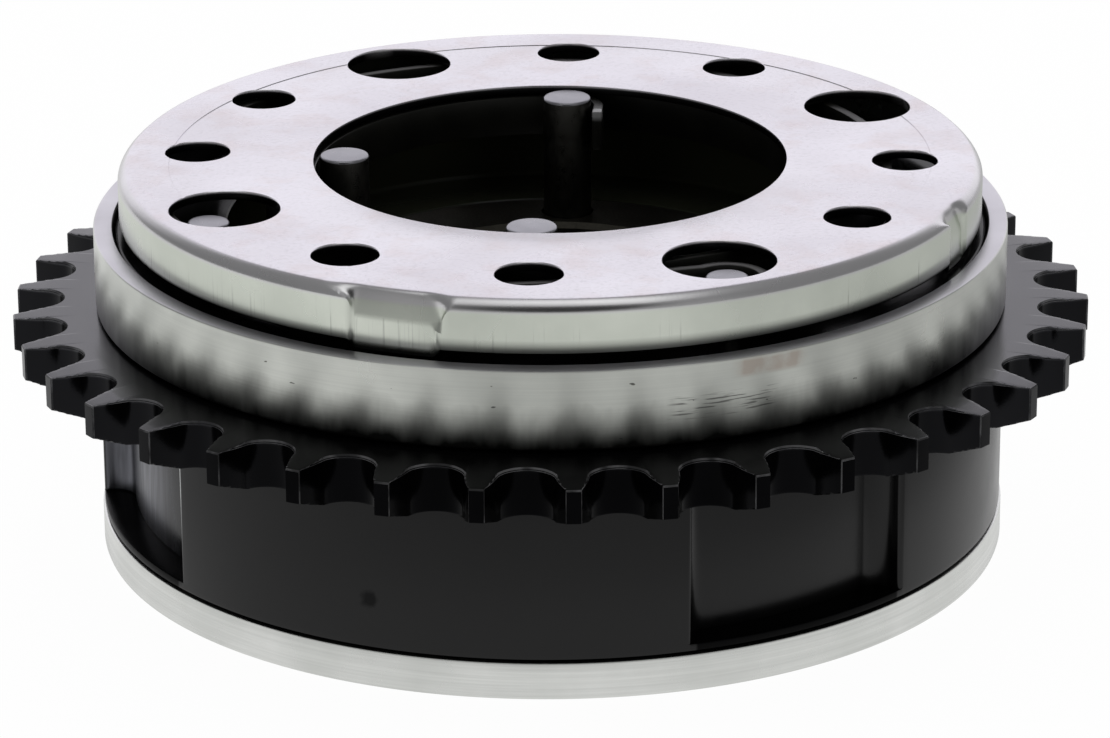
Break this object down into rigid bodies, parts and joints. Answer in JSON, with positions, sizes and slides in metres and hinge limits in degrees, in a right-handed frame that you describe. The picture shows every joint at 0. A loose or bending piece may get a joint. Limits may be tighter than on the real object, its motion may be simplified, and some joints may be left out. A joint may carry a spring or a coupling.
{
  "type": "cam phaser",
  "caption": "Vane-type cam phaser with a toothed sprocket, a chambered stator, a vaned rotor, a spiral bias spring and a pressed tone-wheel cover.",
  "frame": {"origin": "centre of the rear plate's rear face, where the phaser stands", "axes": "+Z along the camshaft's axis, from the rear plate to the tone-wheel cover; -Y towards the front of the picture, +X to its right"},
  "size_m": [0.1198, 0.1198, 0.0433],
  "materials": {
    "pressed_steel": "satin",
    "ground_steel": "ground bright",
    "black_iron": "black oxide",
    "sintered_iron": "machined",
    "spring_steel": "dark tempered",
    "seal_polymer": "matte"
  },
  "bodies": {
    "housing": {"rear_plate": "ground_steel", "stator": "black_iron", "sprocket": "black_iron", "seal_ring": "ground_steel", "tone_wheel_cover": "pressed_steel", "bias_spring": "spring_steel", "outer_spring_pin_1": "ground_steel", "outer_spring_pin_2": "ground_steel", "assembly_screw_1": "spring_steel", "assembly_screw_2": "spring_steel", "assembly_screw_3": "spring_steel", "assembly_screw_4": "spring_steel", "plate_dowel": "spring_steel", "lock_seat": "ground_steel"},
    "rotor_body": {"rotor": "sintered_iron", "inner_spring_pin_1": "ground_steel", "inner_spring_pin_2": "ground_steel", "inner_spring_pin_3": "ground_steel", "vane_seal_1": "seal_polymer", "vane_seal_2": "seal_polymer", "vane_seal_3": "seal_polymer", "vane_seal_4": "seal_polymer", "seal_spring_1": "spring_steel", "seal_spring_2": "spring_steel", "seal_spring_3": "spring_steel", "seal_spring_4": "spring_steel", "lock_cap": "ground_steel", "lock_spring": "spring_steel"},
    "lock_body": {"lock_pin": "ground_steel"}
  },
  "joints": [
    {"name": "rotor_turn", "type": "hinge", "parent": "housing", "child": "rotor_body", "pos_m": [0, 0, 0], "axis": [0, 0, 1], "range_deg": [0, 20]},
    {"name": "lock_pin_slide", "type": "slide", "parent": "rotor_body", "child": "lock_body", "axis": [0, 0, 1], "range_m": [0, 0.0015], "stiffness_N_per_m": 300, "springref_m": -0.003, "deforming": ["lock_spring"]}
  ]
}
